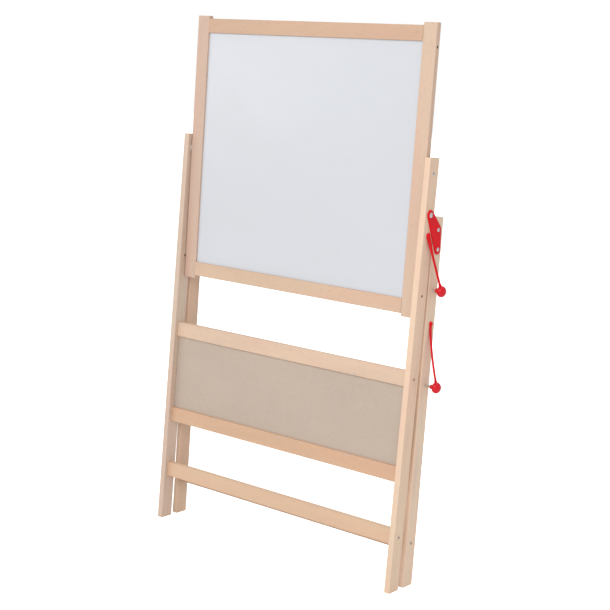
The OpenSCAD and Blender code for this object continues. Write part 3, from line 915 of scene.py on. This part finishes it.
@dataclass
class Knob:
    """A red, slightly flattened ball knob with a neck, on the end of a steel pin.

    Attributes:
        node: The knob's node.
        body: The body that it rides on.
        side: 1 on the right and -1 on the left.
        plane: The rear frame's plane.
        finish: Its finish.
        ball_r: The ball's radius, square to its pin.
        flat: The ball's thickness along its pin, as a share of its width.
        neck_r: The neck's radius.
        neck_len: The neck's length.
        bore_r: The radius of the bore for the pin.
        bore_len: How deep the bore goes past the neck.
    """

    node: str
    body: str
    side: int
    plane: LegPlane
    finish: bpy.types.Material
    ball_r: float = 12 * MM
    flat: float = 9.5 / 12
    neck_r: float = 4.2 * MM
    neck_len: float = 4 * MM
    bore_r: float = 3.02 * MM
    bore_len: float = 8 * MM

    def middle(self) -> Vector:
        """Gives the middle of the ball, on the right."""
        low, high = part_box(self.node)
        outer = max(abs(low.x), abs(high.x))
        half_w = self.ball_r * self.flat
        return Vector((outer - half_w, (low.y + high.y) / 2, (low.z + high.z) / 2))

    def profile(self) -> list[tuple[float, float]]:
        """Gives the knob's closed profile, with the ball's middle as the origin."""
        half_w = self.ball_r * self.flat
        back = -half_w - self.neck_len
        join_r = self.neck_r + 0.8 * MM
        neck_end = -math.sqrt(self.ball_r ** 2 - join_r ** 2) * self.flat
        start = 180 - math.degrees(math.asin(join_r / self.ball_r))
        bore_end = -half_w + self.bore_len
        points = [(bore_end, 0.01 * MM), (bore_end, self.bore_r), (back, self.bore_r)]
        points += [(back, self.neck_r + 0.5 * MM), (back + 0.3 * MM, join_r)]
        points += [(back + 1.1 * MM, join_r), (back + 1.5 * MM, self.neck_r)]
        points.append((neck_end - 1.0 * MM, self.neck_r))
        points.append((neck_end - 0.3 * MM, self.neck_r + 0.25 * MM))
        ball = arc((0, 0), self.ball_r, start, 91.8, 16)
        ball += [(x, self.ball_r + 0.14 * MM) for x in (-0.18 * MM, 0.18 * MM)]
        ball += arc((0, 0), self.ball_r, 88.2, 9, 18)
        gate = half_w - 0.35 * MM
        points += [(x * self.flat, r) for x, r in ball]
        return points + [(gate, 1.35 * MM), (gate, 0.01 * MM)]

    def build(self) -> None:
        """Builds the knob in place of its node."""
        mesh = placed(lathed(self.profile(), 64), self.plane, self.side, self.middle())
        piece = new_piece(self.node + "_moulded", mesh, self.finish)
        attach(piece, self.body)
        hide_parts(self.node)


@dataclass
class Strap:
    """A soft red strap that ties a knob to its button on a leg.

    Attributes:
        name: The strap's node.
        side: 1 on the right and -1 on the left.
        home: The plane of the frame that the button is on.
        home_body: The body that the button rides on.
        button: The button's place on the leg's outer face, on the right.
        knob: The knob that the strap ends in.
        finish: Its finish.
        bow: More than 1 where the strap first hugs the leg.
        head_w: The strap's width at its button.
        tail_w: The strap's width at its knob.
        thickness: The strap's thickness.
        steps: The number of steps along it.
        split: The share of its way where a strap over two frames is split.
        button_end: The share of its way up to which it would stay with its button; not used.
        knob_end: The share of its way from which it would stay with its knob; not used.
    """

    name: str
    side: int
    home: LegPlane
    home_body: str
    button: Vector
    knob: Knob
    finish: bpy.types.Material
    bow: float
    head_w: float = 7.5 * MM
    tail_w: float = 5.6 * MM
    thickness: float = 2.5 * MM
    steps: int = 36
    split: float = 0.6
    button_end: float = 0.06
    knob_end: float = 0.97

    def middle_at(self, share: float) -> Vector:
        """Gives the middle of the strap at a share of its way, on the right."""
        start = self.button + OUTWARD * (self.thickness / 2 + 0.2 * MM)
        centre = self.knob.middle()
        end = centre + (start - centre).normalized() * (self.knob.ball_r - 1.0 * MM)
        way = end - start
        return start + Vector((way.x * share ** self.bow, way.y * share, way.z * share))

    def size_at(self, share: float) -> tuple[float, float]:
        """Gives the strap's width and thickness at a share of its way."""
        taper = min(share / 0.38, 1.0)
        width = self.head_w + (self.tail_w - self.head_w) * taper
        swell = max(0.0, (share - 0.93) / 0.07) ** 2
        return width + 2.0 * MM * swell, self.thickness + 2.0 * MM * swell

    def ring_at(self, share: float) -> list[Vector]:
        """Gives the strap's section at a share of its way, as a rounded rectangle."""
        step = 0.01
        ahead = self.middle_at(min(share + step, 1.0)) - self.middle_at(max(share - step, 0.0))
        along = ahead.normalized()
        broad = along.cross(OUTWARD).normalized()
        thick = broad.cross(along).normalized()
        if thick.x < 0:
            broad, thick = -broad, -thick
        width, depth = self.size_at(share)
        corner = 0.7 * MM
        groove = [(width * p, depth / 2 - q * MM) for p, q in ((0.24, 0.0), (0.19, 0.4))]
        points = arc((width / 2 - corner, depth / 2 - corner), corner, 0, 90, 4)
        points += groove + [(-p, q) for p, q in reversed(groove)]
        for quarter, (a, b) in enumerate(((-1, 1), (-1, -1), (1, -1)), start=1):
            middle = (a * (width / 2 - corner), b * (depth / 2 - corner))
            points += arc(middle, corner, quarter * 90, quarter * 90 + 90, 4)
        here = self.middle_at(share)
        return [here + broad * p + thick * q for p, q in points]

    def band(self, start: float, end: float) -> bpy.types.Mesh:
        """Builds the strap between two shares of its way, on its own side."""
        count = max(4, round(self.steps * (end - start)))
        shares = [start + (end - start) * i / count for i in range(count + 1)]
        mesh = skin([self.ring_at(share) for share in shares])
        if self.side < 0:
            mesh.transform(Matrix.Scale(-1, 4, OUTWARD))
            mesh.flip_normals()
        return mesh

    def eye(self) -> bpy.types.Mesh:
        """Builds the round eye at the strap's end, which its button holds."""
        inner, outer, t = 2.3 * MM, max(self.head_w / 2, 4.8 * MM), self.thickness
        ease = 0.5 * MM
        profile = [(0, inner), (t, inner), (t, outer - ease), (t - ease, outer)]
        profile += [(ease, outer), (0, outer - ease)]
        mesh = lathed([(x + 0.2 * MM, r) for x, r in profile])
        return placed(mesh, self.home, self.side, self.button)

    def cap(self) -> bpy.types.Mesh:
        """Builds the domed button, with its stem in the leg."""
        seat = self.thickness + 0.25 * MM
        dome = [(seat + x, r) for x, r in arc((0, 0), 1.0, 90, 0, 10)]
        dome = [(seat + (x - seat) * 2.3 * MM, r * 4.9 * MM) for x, r in dome[:-1]]
        top = seat + 2.3 * MM
        stem = [(seat, 2.2 * MM), (-10 * MM, 2.1 * MM), (-12 * MM, 1.2 * MM), (-12 * MM, 0.01 * MM)]
        profile = stem[::-1] + [(seat - 0.1 * MM, 4.6 * MM)] + dome + [(top, 0.01 * MM)]
        return placed(lathed(profile), self.home, self.side, self.button)

    def on_side(self, point: Vector) -> Vector:
        """Mirrors a place to the strap's own side."""
        return Vector((point.x * self.side, point.y, point.z))

    def add(self, part: str, mesh: bpy.types.Mesh) -> bpy.types.Object:
        """Makes a piece of the strap in place of its node."""
        piece = new_piece(f"{self.name}_{part}", mesh, self.finish)
        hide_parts(self.name)
        return piece

    def build(self) -> None:
        """Builds the button and the strap, which runs from the button to the knob."""
        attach(self.add("button", self.cap()), self.home_body)
        rear = "rear_frame"
        if self.home_body == rear:
            whole = self.add("band", joined([self.eye(), self.band(0.0, 1.0)]))
            self.follow(whole, 0.5, self.knob_end)
            return
        head = self.add("head", joined([self.eye(), self.band(0.0, self.split)]))
        self.follow(head, self.button_end, self.split)
        tail = self.add("tail", self.band(self.split, 1.0))
        self.follow(tail, self.split, self.knob_end)

    def follow(self, piece: bpy.types.Object, start: float, end: float) -> None:
        """Bakes a piece's place into its mesh; the places at the two shares are worked out but not
        used.
        """
        start_at, end_at = (self.on_side(self.middle_at(share)) for share in (start, end))
        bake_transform(piece)


@dataclass
class LockPins:
    """The four lock pins, each with its knob and its strap.

    Attributes:
        front: The front frame's plane.
        rear: The rear frame's plane.
        upper_drop: From the frame hinge down to the upper buttons, on the front legs.
        lower_drop: From the frame hinge down to the lower buttons, on the rear legs.
        rear_back: From the hinge back to the middle of the rear legs.
    """

    front: LegPlane
    rear: LegPlane
    upper_drop: float = 43 * MM
    lower_drop: float = 229 * MM
    rear_back: float = 37 * MM

    def build(self) -> None:
        """Builds the knobs and straps on both sides."""
        knob_red = KNOB_RED.material("knob_plastic")
        strap_red = PLATE_RED.material("strap_plastic")
        front_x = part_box("front_leg_right")[1].x
        rear_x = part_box("rear_leg_right")[1].x
        for name, side in SIDES.items():
            upper = Knob(f"upper_knob_{name}", f"upper_lock_{name}", side, self.rear, knob_red)
            lower = Knob(f"lower_knob_{name}", f"lower_lock_{name}", side, self.rear, knob_red)
            high = self.front.at(front_x, 0, -self.upper_drop)
            low = self.rear.at(rear_x, self.rear_back, -self.lower_drop)
            straps = [
                Strap(f"upper_strap_{name}", side, self.front, "front_frame", high, upper,
                      strap_red, 1.15, head_w=13 * MM),
                Strap(f"lower_strap_{name}", side, self.rear, "rear_frame", low, lower,
                      strap_red, 1.5),
            ]
            for piece in (upper, lower, *straps):
                piece.build()


# ---- Studio ----


@dataclass
class Lamp:
    """A square soft light that points at the easel.

    Attributes:
        name: The light's name.
        at: Its place.
        size: The length of its sides.
        power: Its power in watts.
    """

    name: str
    at: tuple[float, float, float]
    size: float
    power: float

    def build(self, target: Vector) -> None:
        """Hangs the light and points it at a target."""
        light = bpy.data.lights.new(self.name, "AREA")
        light.size = self.size
        light.energy = self.power
        lamp = bpy.data.objects.new(self.name, light)
        lamp.location = self.at
        lamp.rotation_euler = (target - lamp.location).to_track_quat("-Z", "Y").to_euler()
        bpy.context.scene.collection.objects.link(lamp)


@dataclass
class Studio:
    """A white studio: floor, light and camera.

    Attributes:
        eye: The camera's place.
        azimuth: The way that it looks, in degrees from +Y towards -X.
        dip: How far it looks down, in degrees.
        roll: How far it is rolled, in degrees.
        lens: Its focal length in millimetres, on a 36 mm sensor.
        ambient: The strength of the light from all round.
    """

    eye: tuple[float, float, float] = (1.8201, -2.3444, 1.0433)
    azimuth: float = 37.374
    dip: float = 9.114
    roll: float = 3.849
    lens: float = 79.616
    ambient: float = 0.68

    def camera(self) -> None:
        """Sets up the camera."""
        data = bpy.data.cameras.new("camera")
        data.lens = self.lens
        data.sensor_width = 36
        seen = bpy.data.objects.new("camera", data)
        turn = Matrix.Rotation(math.radians(self.azimuth), 4, "Z")
        tip = Matrix.Rotation(math.radians(90 - self.dip), 4, "X")
        roll = Matrix.Rotation(math.radians(self.roll), 4, "Z")
        seen.matrix_world = Matrix.Translation(self.eye) @ turn @ tip @ roll
        bpy.context.scene.collection.objects.link(seen)
        bpy.context.scene.camera = seen

    def sky(self) -> None:
        """Sets an even white surround, brighter to the eye than its light."""
        world = bpy.data.worlds.new("surround")
        world.use_nodes = True
        sheet = Sheet(world.node_tree)
        shown = sheet.add("LightPath").outputs["Is Camera Ray"]
        back = world.node_tree.nodes["Background"]
        sheet.feed(back.inputs["Color"], (1, 1, 1, 1))
        sheet.feed(back.inputs["Strength"], sheet.spread(shown, self.ambient, 1.0))
        bpy.context.scene.world = world

    def floor(self) -> None:
        """Lays a wide white floor that glows a little, so that only contact shadows show."""
        work = bmesh.new()
        bmesh.ops.create_grid(work, x_segments=4, y_segments=4, size=30.0)
        made = Surface("floor_white", roughness=0.9, Specular_IOR_Level=0.1)
        made.colour((0.9, 0.9, 0.9, 1))
        made.shader.inputs["Emission Color"].default_value = (1, 1, 1, 1)
        shown = made.sheet.add("LightPath").outputs["Is Camera Ray"]
        glow = made.sheet.spread(shown, 0.05, 0.75)
        made.sheet.feed(made.shader.inputs["Emission Strength"], glow)
        mesh = finished(work)
        mesh.materials.append(made.material)
        ground = bpy.data.objects.new("floor", mesh)
        bpy.context.scene.collection.objects.link(ground)

    def build(self) -> None:
        """Sets up the whole studio."""
        bpy.context.scene.view_settings.view_transform = "Standard"
        middle = (CAD_BOX[0] + CAD_BOX[1]) / 2
        self.camera()
        self.sky()
        self.floor()
        lamps = [
            Lamp("key", (1.1, -3.3, 2.7), 1.5, 62.0),
            Lamp("fill", (-2.6, -2.0, 1.6), 1.8, 12.0),
            Lamp("rear", (-0.8, 3.0, 2.4), 2.0, 20.0),
        ]
        for lamp in lamps:
            lamp.build(middle)


def main() -> None:
    """Builds and dresses the easel, part by part."""
    logging.basicConfig(level=logging.INFO, format="%(name)s: %(message)s")
    front, rear = leg_planes()
    Studio().build()
    for part in (
        FrontFrame(front),
        RearFrame(rear),
        TurningBoard(),
        Hardware(),
        HingePlate(rear, PLATE_RED.material("plate_plastic")),
        LockPins(front, rear),
    ):
        part.build()


if __name__ == "__main__":
    main()
